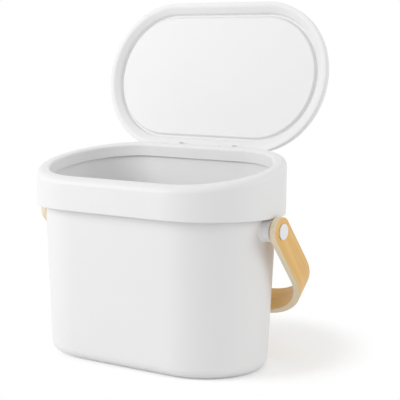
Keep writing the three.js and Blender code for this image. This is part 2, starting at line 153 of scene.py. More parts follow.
class BodySizes(PropertyGroup):
    base_inset: length("Base inset", "How far the wall's foot stands in from the collar's outside", 14.385)
    seam_inset: length("Seam inset", "How far the wall stands in at the collar's lower edge", 8.458)
    top_inset: length("Top inset", "How far the wall stands in at its hidden top edge", 6.9)
    top_height: length("Top height", "Height of the wall's top edge at mid depth", 177.3)
    wall: length("Wall", "Thickness of the wall", 2.2)
    floor: length("Floor", "Thickness of the floor", 3)
    base_round: length("Base round", "Round under the body's foot", 9)
    floor_round: length("Floor round", "Round inside at the floor", 6)
    floor_reach: length("Floor reach", "Inset at which the flat middle of the floor is closed", 50)
    edge_round: length("Edge round", "Round of the wall's top edge", 0.7)
    boss_radius: length("Boss radius", "Radius of the round boss at each end", 10)
    boss_end: length("Boss end", "Place of the boss's outer face along the bin", 122.45)
    boss_flare: length("Boss flare", "Fillet where the boss leaves the wall", 1.6)
    boss_round: length("Boss round", "Round of the boss's outer edge", 0.7)
    pad_recess: length("Pad recess", "Depth of the recess that holds each pad", 2.1)
    pad_gap: length("Pad gap", "Gap round each pad in its recess", 0.3)
    pin_bore: length("Pin bore", "Radius of the hole for each handle pin", 4.1)
    screw_bore: length("Screw bore", "Radius of each hole for a mount screw", 2.2)


class CollarSizes(PropertyGroup):
    rim_height: length("Rim height", "Height of the rim at mid depth", 180)
    rim_slope: share("Rim slope", "Rise of the rim towards the back, per unit of depth", 0.186)
    rim_width: length("Rim width", "Width of the rim from its outside to the opening", 12.07)
    rim_round: length("Rim round", "Round of the rim's outer edge", 5.5)
    inner_round: length("Inner round", "Round of the rim's inner edge", 2.5)
    edge_round: length("Edge round", "Round of the lower edge", 1.2)
    wall: length("Wall", "Thickness of the outer wall", 2.4)
    top_wall: length("Top wall", "Thickness of the rim's top", 2.4)
    skirt_wall: length("Skirt wall", "Thickness of the skirt inside the body", 2)
    skirt_drop: length("Skirt drop", "Depth of the skirt inside the body", 12)
    channel_chamfer: length("Channel chamfer", "Chamfer inside the channel", 3.5)
    lip: length("Lip", "Thickness of the lip under the channel", 2)
    lip_inset: length("Lip inset", "How far the lip reaches towards the body", 6.3)
    block_length: length("Block length", "Length of each hinge block", 36)
    block_depth: length("Block depth", "Depth of each hinge block inside the channel", 4.14)
    block_drop: length("Block drop", "How far each hinge block hangs below the hinge", 10)
    notch_drop: length("Notch drop", "How far each hinge notch goes below the hinge", 5)
    notch_length: length("Notch length", "Length of each hinge notch", 15.2)
    notch_front: length("Notch front", "How far each notch reaches in front of the hinge", 4.6)
    bore: length("Bore", "Radius of the holes for the hinge pins, here and in the lid", 1.3)


class LidSizes(PropertyGroup):
    setback: length("Setback", "How far the lid's edge stands in from the collar's", 0.3)
    drop: length("Hinge drop", "Distance from the hinge to the lid's resting plane", 2.8)
    height: length("Height", "Height of the lid's edge over its resting plane", 11)
    crown: length("Crown", "Rise of the lid's middle over its edge", 0.8)
    top_round: length("Top round", "Round of the lid's upper edge", 6)
    wall: length("Wall", "Thickness of the cover", 2)
    lining: length("Lining", "Thickness of the lining", 1.8)
    joint_gap: length("Joint gap", "Gap between cover and lining", 0.3)
    joint_round: length("Joint round", "Round on both sides of that gap", 0.25)
    land: length("Land", "Width of the flat land that rests on the rim", 4.3)
    land_round: length("Land round", "Round of the land's outer edge", 0.6)
    slope_round: length("Slope round", "Round where the land turns down into the slope", 1.5)
    slope_depth: length("Slope depth", "Depth of the slope's foot, at the groove", 3.8)
    groove_depth: length("Groove depth", "Depth of the groove round the panel", 6.9)
    groove_inset: length("Groove inset", "Inset of the groove's outer side from the lid's edge", 10.1)
    groove_draft: length("Groove draft", "Lean of the groove's outer side, half that of its inner side", 0.6)
    groove_round: length("Groove round", "Round in the groove's corners", 0.5)
    panel_inset: length("Panel inset", "Inset of the panel's edge from the lid's edge", 14)
    panel_recess: length("Panel recess", "How far the panel lies in from the land", 4)
    panel_round: length("Panel round", "Round of the panel's edge and of the groove's", 0.9)
    knuckle_radius: length("Knuckle radius", "Radius of each hinge knuckle", 3.4)
    knuckle_length: length("Knuckle length", "Length of each hinge knuckle", 14)
    hinge_spacing: length("Hinge spacing", "Distance between the two hinges", 60)


class HandleSizes(PropertyGroup):
    width: length("Width", "Width of the strip", 25)
    thickness: length("Thickness", "Thickness of the strip", 6.4)
    span: length("Span", "Distance between the strip's outer faces", 262.1)
    reach: length("Reach", "Distance from the pivots to the bow's outer face", 109.58)
    bend: length("Bend", "Outer radius of each bend", 58.5)
    edge_round: length("Edge round", "Round of the strip's long edges", 0.7)
    bore: length("Bore", "Radius of the hole for each pin", 4.1)
    lean: angle("Lean", "How far the handle leans back at rest", 42.36)
    plies: count("Plies", "Number of wood layers in the strip", 7)


class MountSizes(PropertyGroup):
    corner_round: length("Corner round", "Round of the mount's corners", 6)
    edge_round: length("Edge round", "Round of the mount's back edge", 0.8)
    wall: length("Wall", "Thickness of the mount's sides", 2.4)
    back_wall: length("Back wall", "Thickness of the mount's back", 3)
    keyhole_spacing: length("Keyhole spacing", "Distance between the keyholes", 28)
    keyhole_radius: length("Keyhole radius", "Radius of the round part of each keyhole", 4.5)
    slot_radius: length("Slot radius", "Half the width of each keyhole's slot", 2.2)
    keyhole_rise: length("Keyhole rise", "Length of each keyhole's slot", 9)
    gap: length("Gap", "Gap between the mount and the body", 0.3)
    boss_radius: length("Boss radius", "Radius of each screw boss inside the mount", 4.4)
    bore: length("Bore", "Radius of the hole in each screw boss", 2.2)


class Finishes(PropertyGroup):
    plastic: colour("Plastic", "Colour of the moulded white plastic", (0.86, 0.86, 0.86))
    trim: colour("Trim", "Colour of the caps and washers", (0.88, 0.885, 0.895))
    veneer: colour("Veneer", "Colour of the handle's faces", (0.86, 0.545, 0.19))
    veneer_dark: colour("Veneer grain", "Darker colour of the grain", (0.755, 0.44, 0.135))
    ply_pale: colour("Pale layer", "Colour of the pale layers on the handle's edge", (0.93, 0.82, 0.61))
    ply_dark: colour("Glue line", "Colour of the lines between the layers", (0.83, 0.69, 0.49))
    steel: colour("Steel", "Colour of pins and screws", (0.62, 0.63, 0.65))
    rubber: colour("Rubber", "Colour of the pads", (0.40, 0.40, 0.41))


class StageSizes(PropertyGroup):
    target_height: length("Target height", "Height of the point that the camera is set from", 100)
    distance: length("Distance", "Distance of the camera from that point", 1048.19)
    azimuth: angle("Azimuth", "Turn of the camera from the front", 33.563)
    elevation: angle("Elevation", "Height of the camera over the horizon", 6.943)
    roll: angle("Roll", "Roll of the camera", 0.636)
    shift_right: length("Shift right", "How far the camera stands to the right of its target", 38.589)
    shift_up: length("Shift up", "How far the camera stands above its target", 44.923)
    lens: strength("Lens", "Focal length in millimetres", 102.614, "CAMERA")
    floor_size: length("Floor size", "Half the width of the floor", 4000)
    sky: strength("Sky", "Strength of the soft light from all round", 0.6)
    key: strength("Key lamp", "Power of the large lamp at the left", 13.2, "POWER")
    fill: strength("Fill lamp", "Power of the lamp at the right", 5.2, "POWER")
    top: strength("Top lamp", "Power of the lamp overhead", 1.6, "POWER")
    floor_glow: strength("Floor glow", "What the camera sees added to the floor", 0.25)
    shade_right: length("Shade right", "How far right of the bin the floor's shaded patch is centred", 30)
    shade_back: length("Shade back", "How far behind the bin's middle that patch is centred", 50)
    shade_stretch: share("Shade stretch", "Narrowness of that patch from front to back", 0.8)
    shade_near: length("Shade near", "Distance at which the floor starts to fade to white", 100)
    shade_far: length("Shade far", "Distance at which the floor is white", 150)


SETTINGS = {
    "bin_body": BodySizes,
    "bin_collar": CollarSizes,
    "bin_lid": LidSizes,
    "bin_handle": HandleSizes,
    "bin_mount": MountSizes,
    "bin_finish": Finishes,
    "bin_stage": StageSizes,
}


# Shapes


def round_steps(radius):
    """More facets on a larger round."""
    return LEAST_FACETS + round(radius / MM * FACETS_PER_MM)


def round_off(bm, geometry, radius, segments, affect="EDGES"):
    """Rounds edges or corners of a shape."""
    bmesh.ops.bevel(
        bm, geom=geometry, offset=radius, segments=segments, profile=0.5, affect=affect, material=-1
    )


def profile_chain(bm, rows, closed):
    """A chain of vertices from rows of place and round, each round cut into its corner."""
    corners = [bm.verts.new(place) for place, _ in rows]
    links = list(zip(corners, corners[1:] + corners[:1]))
    for pair in links if closed else links[:-1]:
        bm.edges.new(pair)
    for corner, (_, radius) in zip(corners, rows):
        if radius:
            round_off(bm, [corner], radius, round_steps(radius), "VERTICES")


def extrude_chain(bm, geometry, move):
    """Draws the edges of a chain along a straight move and gives back the new chain."""
    edges = [item for item in geometry if isinstance(item, bmesh.types.BMEdge)]
    made = bmesh.ops.extrude_edge_only(bm, edges=edges)["geom"]
    verts = [item for item in made if isinstance(item, bmesh.types.BMVert)]
    bmesh.ops.translate(bm, verts=verts, vec=move)
    return [item for item in made if isinstance(item, (bmesh.types.BMVert, bmesh.types.BMEdge))]


def spin_chain(bm, geometry, centre, axis, turn, steps):
    """Turns a chain about an axis and gives back its last place."""
    return bmesh.ops.spin(bm, geom=geometry, cent=centre, axis=axis, angle=turn, steps=steps)["geom_last"]


def close_shell(bm):
    """Joins the places where a skin meets itself, caps its openings and turns its faces outwards."""
    bmesh.ops.remove_doubles(bm, verts=bm.verts, dist=MERGE)
    openings = [edge for edge in bm.edges if edge.is_boundary]
    if openings:
        bmesh.ops.holes_fill(bm, edges=openings, sides=0)
    bmesh.ops.recalc_face_normals(bm, faces=bm.faces)


def oval_shell(rows, radius=OVAL_RADIUS, closed=False):
    """A shell round the long oval from rows of (inset, height, round), open in its middle or a ring."""
    bm = bmesh.new()
    places = [((OVAL_END_X, inset - radius, height), rounding) for inset, height, rounding in rows]
    profile_chain(bm, places, closed)
    chain = bm.verts[:] + bm.edges[:]
    for end in (OVAL_END_X, -OVAL_END_X):
        chain = spin_chain(bm, chain, (end, 0, 0), (0, 0, 1), math.pi, OVAL_STEPS)
        chain = extrude_chain(bm, chain, Vector((-2 * end, 0, 0)))
    close_shell(bm)
    return bm


def move(bm, place):
    """Sets a whole shape in a place."""
    bmesh.ops.transform(bm, matrix=place, verts=bm.verts)


def slope_above(bm, height, slope):
    """Tilts what lies above a height to the rim's slope, up towards the back."""
    shear = Matrix.Identity(4)
    shear[2][1] = slope
    bmesh.ops.transform(bm, matrix=shear, verts=[vert for vert in bm.verts if vert.co.z > height])


def turned(rows, place, steps=ROUND_STEPS, closed=False):
    """A piece turned about its own +Z line from rows of (radius, height, round), then set in its place."""
    bm = bmesh.new()
    profile_chain(bm, [((radius, 0, height), rounding) for radius, height, rounding in rows], closed)
    bmesh.ops.spin(
        bm,
        geom=bm.verts[:] + bm.edges[:],
        cent=(0, 0, 0),
        axis=(0, 0, 1),
        angle=math.tau,
        steps=steps,
        use_merge=True,
    )
    close_shell(bm)
    move(bm, place)
    return bm


def along(axis, at=(0, 0, 0), side=1):
    """A place whose +Z line runs along an axis of the bin, towards its plus or minus side."""
    turns = {
        "X": Matrix.Rotation(side * math.pi / 2, 4, "Y"),
        "Y": Matrix.Rotation(-side * math.pi / 2, 4, "X"),
    }
    return Matrix.Translation(at) @ turns.get(axis, Matrix.Identity(4))


def rod(radius, start, end, place, steps=ROD_STEPS):
    """A plain round rod from one distance to another along a place's line, to cut a hole with."""
    return turned([(0, start, 0), (radius, start, 0), (radius, end, 0), (0, end, 0)], place, steps)


def block(low, high):
    """A box between two corners."""
    bm = bmesh.new()
    bmesh.ops.create_cube(bm, size=1)
    bmesh.ops.scale(bm, vec=Vector(high) - Vector(low), verts=bm.verts)
    bmesh.ops.translate(bm, vec=(Vector(low) + Vector(high)) / 2, verts=bm.verts)
    return bm


def mesh_of(name, bm):
    """Makes a finished shape a mesh."""
    mesh = bpy.data.meshes.new(name)
    bm.to_mesh(mesh)
    bm.free()
    return mesh


def add_object(name, data):
    """Puts a new object in the scene."""
    made = bpy.data.objects.new(name, data)
    bpy.context.scene.collection.objects.link(made)
    return made


def gather(bm, other):
    """Adds another shape to a shape."""
    spare = mesh_of("spare", other)
    bm.from_mesh(spare)
    bpy.data.meshes.remove(spare)


def carve(bm, tool, operation="DIFFERENCE"):
    """Cuts a tool shape out of a shape, or joins it on."""
    holders = [add_object("carve", mesh_of("carve", shape)) for shape in (bm, tool)]
    modifier = holders[0].modifiers.new("carve", "BOOLEAN")
    modifier.operation, modifier.solver, modifier.object = operation, "EXACT", holders[1]
    result = bmesh.new()
    result.from_object(holders[0], bpy.context.evaluated_depsgraph_get())
    for holder in holders:
        mesh = holder.data
        bpy.data.objects.remove(holder)
        bpy.data.meshes.remove(mesh)
    bmesh.ops.remove_doubles(result, verts=result.verts, dist=MERGE)
    return result


def make_piece(name, bm, body, slot, *nodes, sharp=40):
    """Makes a shape a shown piece that rides on a body of the frame and stands for plain solids of it.

    Folds of more than so many degrees stay sharp."""
    mesh = mesh_of(name, bm)
    mesh.shade_smooth()
    mesh.set_sharp_from_angle(angle=math.radians(sharp))
    mesh.materials.append(finish_of(slot))
    piece = add_object(name, mesh)
    shading = piece.modifiers.new("Even shading", "WEIGHTED_NORMAL")
    shading.keep_sharp = True
    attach(piece, body)
    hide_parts(*nodes)


# Finishes


def add_node(tree, kind, inputs=None, **settings):
    """Adds a node, sets it, and links or fills its inputs."""
    made = tree.nodes.new(kind)
    for name, value in settings.items():
        setattr(made, name, value)
    for name, value in (inputs or {}).items():
        if isinstance(value, bpy.types.NodeSocket):
            tree.links.new(value, made.inputs[name])
        else:
            made.inputs[name].default_value = value
    return made


def empty_tree(owner):
    """The nodes of a new material or world, emptied."""
    owner.use_nodes = True
    owner.node_tree.nodes.clear()
    return owner.node_tree


def fresh_material(name):
    """A material with only a shader and an output."""
    material = bpy.data.materials.new(name)
    tree = empty_tree(material)
    shader = tree.nodes.new("ShaderNodeBsdfPrincipled")
    output = tree.nodes.new("ShaderNodeOutputMaterial")
    tree.links.new(shader.outputs["BSDF"], output.inputs["Surface"])
    return material, tree, shader


def noise(tree, place, scale, detail, **others):
    inputs = {"Vector": place, "Scale": scale, "Detail": detail, **others}
    return add_node(tree, "ShaderNodeTexNoise", inputs).outputs["Fac"]


def between(tree, value, low, high):
    """Brings a value from 0 to 1 between two limits."""
    inputs = {"Value": value, "To Min": low, "To Max": high}
    return add_node(tree, "ShaderNodeMapRange", inputs).outputs["Result"]


def calculate(tree, operation, *values, **settings):
    made = add_node(tree, "ShaderNodeMath", dict(enumerate(values)), operation=operation, **settings)
    return made.outputs["Value"]


def blend(tree, share_of_second, first, second, **settings):
    inputs = {"Factor": share_of_second, "A": first, "B": second}
    return add_node(tree, "ShaderNodeMix", inputs, data_type="RGBA", **settings).outputs["Result"]


def ramp(tree, value, *stops):
    """Colours for a value, from stops of (position, colour)."""
    made = add_node(tree, "ShaderNodeValToRGB", {"Fac": value})
    elements = made.color_ramp.elements
    for index, (position, rgba) in enumerate(stops):
        stop = elements[index] if index < 2 else elements.new(position)
        stop.position, stop.color = position, rgba
    return made.outputs["Color"]


def roughen(tree, shader, height, strength_of_bump, depth):
    """Gives a shader a bump of a depth in metres."""
    inputs = {"Height": height, "Strength": strength_of_bump, "Distance": depth}
    tree.links.new(add_node(tree, "ShaderNodeBump", inputs).outputs["Normal"], shader.inputs["Normal"])


def tint(rgb, factor=1.0):
    return (*(min(channel * factor, 1) for channel in rgb), 1)


def moulded(name, rgb, roughness, grain, depth, mottle=0.012):
    """Moulded plastic or rubber: a fine spark-eroded grain, slow changes of tone and uneven gloss."""
    material, tree, shader = fresh_material(name)
    place = add_node(tree, "ShaderNodeTexCoord").outputs["Object"]
    fine = noise(tree, place, 1 / grain, 3.0, Roughness=0.6)
    slow = noise(tree, place, 14.0, 2.0)
    tone = blend(tree, slow, tint(rgb, 1 - mottle), tint(rgb, 1 + mottle))
    tree.links.new(tone, shader.inputs["Base Color"])
    tree.links.new(between(tree, slow, roughness - 0.05, roughness + 0.05), shader.inputs["Roughness"])
    roughen(tree, shader, fine, 0.35, depth)
    return material


def turned_steel(name, rgb):
    """Plain bright steel with fine drawing marks round it."""
    material, tree, shader = fresh_material(name)
    place = add_node(tree, "ShaderNodeTexCoord").outputs["Object"]
    marks = noise(tree, place, 900.0, 2.0)
    tree.links.new(between(tree, marks, 0.22, 0.42), shader.inputs["Roughness"])
    tree.links.new(blend(tree, marks, tint(rgb, 0.92), tint(rgb, 1.04)), shader.inputs["Base Color"])
    shader.inputs["Metallic"].default_value = 1
    return material


def laminated_wood(name, finish, handle):
    """Lacquered bent wood: grain along the strip on its faces, pale layers with glue lines on its edges.

    It reads the strip attribute: metres along the strip, across it and down from its outer face."""
    material, tree, shader = fresh_material(name)
    place = add_node(tree, "ShaderNodeAttribute", attribute_name="strip").outputs["Vector"]
    down = add_node(tree, "ShaderNodeSeparateXYZ", {"Vector": place}).outputs["Z"]
    narrow = add_node(tree, "ShaderNodeMapping", {"Vector": place, "Scale": (14.0, 520.0, 260.0)})
    streak = noise(tree, narrow.outputs["Vector"], 1.0, 4.0, Roughness=0.55)
    broad = add_node(tree, "ShaderNodeMapping", {"Vector": place, "Scale": (6.0, 90.0, 60.0)})
    flow = noise(tree, broad.outputs["Vector"], 1.0, 2.0, Distortion=0.6)
    grain = calculate(tree, "MULTIPLY", streak, flow)
    face = ramp(tree, grain, (0.12, tint(finish.veneer_dark)), (0.34, tint(finish.veneer)))

    layer = calculate(tree, "FRACT", calculate(tree, "MULTIPLY", down, handle.plies / handle.thickness))
    layers = ramp(
        tree,
        layer,
        (0.0, tint(finish.ply_dark)),
        (0.22, tint(finish.ply_pale)),
        (0.82, tint(finish.ply_pale, 0.95)),
        (1.0, tint(finish.ply_dark)),
    )
    fibres = ramp(tree, streak, (0.3, (0.72, 0.66, 0.58, 1)), (0.6, (1, 1, 1, 1)))
    edge = blend(tree, 0.35, layers, fibres, blend_type="MULTIPLY")

    half = handle.thickness / 2
    from_middle = calculate(tree, "ABSOLUTE", calculate(tree, "SUBTRACT", down, half))
    limits = {"From Min": half - handle.edge_round * 0.75, "From Max": half - handle.edge_round * 0.35}
    skin = add_node(tree, "ShaderNodeMapRange", {"Value": from_middle, **limits})
    tree.links.new(blend(tree, skin.outputs["Result"], edge, face), shader.inputs["Base Color"])
    tree.links.new(between(tree, streak, 0.42, 0.58), shader.inputs["Roughness"])
    roughen(tree, shader, streak, 0.3, 0.06 * MM)
    shader.inputs["Coat Weight"].default_value = 0.12
    shader.inputs["Coat Roughness"].default_value = 0.3
    return material


def finish_of(slot):
    """The material for a slot of the record, made when it is first asked for."""
    finish, handle = bpy.context.scene.bin_finish, bpy.context.scene.bin_handle
    name, make, settings = {
        "white_plastic": (
            "Moulded white plastic",
            moulded,
            {"rgb": finish.plastic, "roughness": 0.48, "grain": 0.45 * MM, "depth": 0.02 * MM},
        ),
        "white_trim": (
            "White trim plastic",
            moulded,
            {"rgb": finish.trim, "roughness": 0.36, "grain": 0.6 * MM, "depth": 0.01 * MM},
        ),
        "wood": ("Laminated wood", laminated_wood, {"finish": finish, "handle": handle}),
        "steel": ("Bright steel", turned_steel, {"rgb": finish.steel}),
        "pads": (
            "Pad rubber",
            moulded,
            {"rgb": finish.rubber, "roughness": 0.8, "grain": 0.8 * MM, "depth": 0.05 * MM, "mottle": 0.05},
        ),
    }[slot]
    return bpy.data.materials.get(name) or make(name, **settings)


# Pieces


class COMPOST_OT_body(Operator):
    """Make the tapered body with its end bosses"""

    bl_idname = "compost.body"
    bl_label = "Body"

    def execute(self, context):
        s, slope = context.scene.bin_body, context.scene.bin_collar.rim_slope
        rows = [
            (s.floor_reach, 0, 0),
            (s.base_inset, 0, s.base_round),
            (s.seam_inset, SEAM_HEIGHT, 0),
            (s.top_inset, s.top_height, s.edge_round),
            (s.top_inset + s.wall, s.top_height, s.edge_round),
            (s.seam_inset + s.wall, SEAM_HEIGHT, 0),
            (s.base_inset + s.wall, s.floor, s.floor_round),
            (s.floor_reach, s.floor, 0),
        ]
        shell = oval_shell(rows)
        slope_above(shell, (SEAM_HEIGHT + s.top_height) / 2, slope)
        for side in ("left", "right"):
            for end in ("front", "back"):
                low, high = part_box(f"pad_{end}_{side}")
                recess = [(0, -s.pad_recess, 0), ((high.x - low.x) / 2 + s.pad_gap, -s.pad_recess, 0)]
                recess += [(radius, s.pad_recess, rounding) for radius, _, rounding in reversed(recess)]
                middle = (low + high) / 2
                shell = carve(shell, turned(recess, along("Z", (middle.x, middle.y, 0))))
        pivot = HANDLE_PIVOT.z
        wall_x = OVAL_END_X + OVAL_RADIUS - s.base_inset + (s.base_inset - s.seam_inset) * pivot / SEAM_HEIGHT
        for side in (-1, 1):
            root = wall_x - s.wall * BOSS_SINK
            rows = [
                (0, root, 0),
                (s.boss_radius + s.boss_flare, root, 0),
                (s.boss_radius, wall_x + s.boss_flare / 2, s.boss_flare / 2),
                (s.boss_radius, s.boss_end, s.boss_round),
                (0, s.boss_end, 0),
            ]
            at_pivot = along("X", (0, 0, pivot), side)
            shell = carve(shell, turned(rows, at_pivot), "UNION")
            shell = carve(shell, rod(s.pin_bore, wall_x - s.base_round, s.boss_end + MM, at_pivot))
            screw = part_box("mount_screw_right")
            middle = (screw[0] + screw[1]) / 2
            at_screw = along("Y", (side * middle.x, 0, middle.z))
            shell = carve(shell, rod(s.screw_bore, screw[0].y - MM, OVAL_RADIUS, at_screw))
        make_piece("bin_body", shell, "bin", "white_plastic", "body")
        return {"FINISHED"}


class COMPOST_OT_collar(Operator):
    """Make the lift-off collar with its sloping rim and hinge notches"""

    bl_idname = "compost.collar"
    bl_label = "Collar"

    def execute(self, context):
        s, lid = context.scene.bin_collar, context.scene.bin_lid
        skirt_inset = s.rim_width - s.skirt_wall
        rows = [
            (0, SEAM_HEIGHT, s.edge_round),
            (0, s.rim_height, s.rim_round),
            (s.rim_width, s.rim_height, s.inner_round),
            (s.rim_width, s.rim_height - s.skirt_drop, s.skirt_wall / 3),
            (skirt_inset, s.rim_height - s.skirt_drop, s.skirt_wall / 3),
            (skirt_inset, s.rim_height - s.top_wall, 0),
            (s.wall + s.channel_chamfer, s.rim_height - s.top_wall, 0),
            (s.wall, s.rim_height - s.top_wall - s.channel_chamfer, 0),
            (s.wall, SEAM_HEIGHT + s.lip, 0),
            (s.lip_inset, SEAM_HEIGHT + s.lip, s.lip / 4),
            (s.lip_inset, SEAM_HEIGHT, s.lip / 4),
        ]
        ring = oval_shell(rows, closed=True)
        level_hinge = LID_HINGE.z - s.rim_slope * LID_HINGE.y
        back = OVAL_RADIUS - s.wall * BLOCK_SINK
        for side in (-1, 1):
            x = side * lid.hinge_spacing / 2
            cheeks = block(
                (x - s.block_length / 2, back - s.block_depth, level_hinge - s.block_drop),
                (x + s.block_length / 2, back, s.rim_height - s.top_wall / 2),
            )
            ring = carve(ring, cheeks, "UNION")
        slope_above(ring, (SEAM_HEIGHT + s.rim_height) / 2, s.rim_slope)
        for side in (-1, 1):
            x = side * lid.hinge_spacing / 2
            notch = block(
                (x - s.notch_length / 2, LID_HINGE.y - s.notch_front, LID_HINGE.z - s.notch_drop),
                (x + s.notch_length / 2, OVAL_RADIUS + s.rim_width, LID_HINGE.z + s.skirt_drop),
            )
            ring = carve(ring, notch)
            low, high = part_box("hinge_pin_right")
            reach = (high.x - low.x) / 2 + s.wall / 8
            at_hinge = along("X", (0, LID_HINGE.y, LID_HINGE.z))
            ring = carve(ring, rod(s.bore, x - reach, x + reach, at_hinge, SMALL_STEPS))
        make_piece("rim_collar", ring, "collar", "white_plastic", "collar")
        return {"FINISHED"}


def hinge_place(context):
    """The hinge's place at rest, +X along its pins and +Z from the lid's land to its outer face."""
    slope = math.atan(context.scene.bin_collar.rim_slope)
    return Matrix.Translation(LID_HINGE) @ Matrix.Rotation(slope - LID_TRAVEL, 4, "X")


def lid_place(context):
    """The lid's place at rest, from a lid that lies on its resting plane with its edge round the origin."""
    lid, slope = context.scene.bin_lid, context.scene.bin_collar.rim_slope
    stretch = math.hypot(1, slope)
    centre = (0, lid.drop * slope - LID_HINGE.y * stretch, lid.drop)
    return hinge_place(context) @ Matrix.Translation(centre) @ Matrix.Diagonal((1, stretch, 1, 1))


class COMPOST_OT_lid_cover(Operator):
    """Make the lid's cover, a shallow dish upside down"""

    bl_idname = "compost.lid_cover"
    bl_label = "Lid cover"

    def execute(self, context):
        s = context.scene.bin_lid
        foot = s.lining + s.joint_gap
        crown = [(OVAL_RADIUS * inset, s.height + s.crown * rise) for inset, rise in CROWN]
        rows = [(inset, height - s.wall, 0) for inset, height in reversed(crown)]
        rows += [
            (s.top_round, s.height - s.wall, 0),
            (s.wall, s.height - s.top_round, 0),
            (s.wall, foot, 0),
            (0, foot, s.joint_round),
            (0, s.height, s.top_round),
        ]
        rows += [(inset, height, 0) for inset, height in crown]
        cover = oval_shell(rows, radius=OVAL_RADIUS - s.setback)
        move(cover, lid_place(context))
        make_piece("lid_cover", cover, "lid", "white_plastic", "lid_shell")
        return {"FINISHED"}


class COMPOST_OT_lid_lining(Operator):
    """Make the lid's lining: land, slope, groove, recessed panel and hinge knuckles"""

    bl_idname = "compost.lid_lining"
    bl_label = "Lid lining"

    def execute(self, context):
        s = context.scene.bin_lid
        groove_outer, groove_inner = s.groove_inset + s.groove_draft, s.panel_inset - 2 * s.groove_draft
        back = s.groove_depth + s.lining
        along_slope = (s.groove_inset - s.land) / s.slope_depth
        lean = s.lining * math.hypot(1, along_slope)
        wall_inset = s.groove_inset - s.lining
        rows = [
            (OVAL_RADIUS / 2, s.panel_recess, 0),
            (s.panel_inset, s.panel_recess, s.panel_round),
            (groove_inner, s.groove_depth, s.groove_round),
            (groove_outer, s.groove_depth, s.groove_round),
            (s.groove_inset, s.slope_depth, s.panel_round),
            (s.land, 0, s.slope_round),
            (0, 0, s.land_round),
            (0, s.lining, s.joint_round),
            (s.land + along_slope * s.lining - lean, s.lining, 0),
            (wall_inset, (wall_inset + lean - s.land) / along_slope, 0),
            (groove_outer - s.lining, back, 0),
            (groove_inner + s.lining / 2, back, 0),
            (s.panel_inset + s.lining / 2, s.panel_recess + s.lining, 0),
            (OVAL_RADIUS / 2, s.panel_recess + s.lining, 0),
        ]
        lining = oval_shell(rows, radius=OVAL_RADIUS - s.setback)
        move(lining, lid_place(context))
        turn, bore_radius = hinge_place(context), context.scene.bin_collar.bore
        radius, half = s.knuckle_radius, s.knuckle_length / 2
        for side in (-1, 1):
            x = side * s.hinge_spacing / 2
            rows = [(0, -half, 0), (radius, -half, SOFT_EDGE), (radius, half, SOFT_EDGE), (0, half, 0)]
            knuckle = turned(rows, turn @ along("X", (x, 0, 0)), ROD_STEPS)
            reach = half - SOFT_EDGE
            arm = block((x - reach, -radius, 0), (x + reach, radius, s.drop + s.lining / 2))
            move(arm, turn)
            bore = rod(bore_radius, x - 2 * half, x + 2 * half, turn @ along("X"), SMALL_STEPS)
            gather(lining, carve(carve(knuckle, arm, "UNION"), bore))
        make_piece("lid_lining", lining, "lid", "white_plastic", "lid_liner")
        return {"FINISHED"}


def strip_place(point, s):
    """Where a point of the hanging strip lies: along it from its middle, across it, and how deep."""
    side = 1 if point.x >= 0 else -1
    x, bend_x, bend_z = abs(point.x), s.span / 2 - s.bend, s.bend - s.reach
    arc = s.bend * math.pi / 2
    if x <= bend_x:
        run, depth = x, point.z + s.reach
    elif point.z < bend_z:
        run = bend_x + s.bend * math.atan2(x - bend_x, bend_z - point.z)
        depth = s.bend - math.hypot(x - bend_x, bend_z - point.z)
    else:
        run, depth = bend_x + arc + point.z - bend_z, s.span / 2 - x
    return Vector((side * run, point.y, depth))


class COMPOST_OT_handle(Operator):
    """Make the bent wood handle with its layered edges"""

    bl_idname = "compost.handle"
    bl_label = "Handle"

    def execute(self, context):
        s = context.scene.bin_handle
        half, bend_x, bend_z = s.width / 2, s.span / 2 - s.bend, s.bend - s.reach
        bm = bmesh.new()
        outer, inner = -s.reach, s.thickness - s.reach
        section = [(0, outer), (half, outer), (half, inner), (0, inner), (-half, inner), (-half, outer)]
        profile_chain(bm, [((0, y, z), 0) for y, z in section], closed=True)
        chain = extrude_chain(bm, bm.verts[:] + bm.edges[:], Vector((bend_x, 0, 0)))
        chain = spin_chain(bm, chain, (bend_x, 0, bend_z), (0, 1, 0), -math.pi / 2, BEND_STEPS)
        extrude_chain(bm, chain, Vector((0, 0, -bend_z)))
        cap = bmesh.new()
        outer, inner = s.span / 2, s.span / 2 - s.thickness
        section = [(outer, 0), (outer, half), (inner, half), (inner, 0)]
        profile_chain(cap, [((x, y, 0), 0) for x, y in section], closed=False)
        spin_chain(cap, cap.verts[:] + cap.edges[:], (0, 0, 0), (1, 0, 0), math.pi, END_STEPS)
        gather(bm, cap)
        bmesh.ops.remove_doubles(bm, verts=bm.verts, dist=MERGE)
        whole = bm.verts[:] + bm.edges[:] + bm.faces[:]
        bmesh.ops.mirror(bm, geom=whole, matrix=Matrix.Identity(4), merge_dist=MERGE, axis="X")
        bmesh.ops.remove_doubles(bm, verts=bm.verts, dist=MERGE)
        bmesh.ops.dissolve_degenerate(bm, dist=MERGE / 2, edges=bm.edges)
        bmesh.ops.recalc_face_normals(bm, faces=bm.faces)
        pairs = [edge for edge in bm.edges if len(edge.link_faces) == 2]
        round_off(bm, [edge for edge in pairs if edge.calc_face_angle() > SHARP_FOLD], s.edge_round, 4)
        bm = carve(bm, rod(s.bore, -s.span, s.span, along("X")))
        layer = bm.verts.layers.float_vector.new("strip")
        for vert in bm.verts:
            vert[layer] = strip_place(vert.co, s)
        move(bm, Matrix.Translation(HANDLE_PIVOT) @ Matrix.Rotation(s.lean, 4, "X"))
        make_piece("wood_handle", bm, "handle", "wood", "handle")
        return {"FINISHED"}


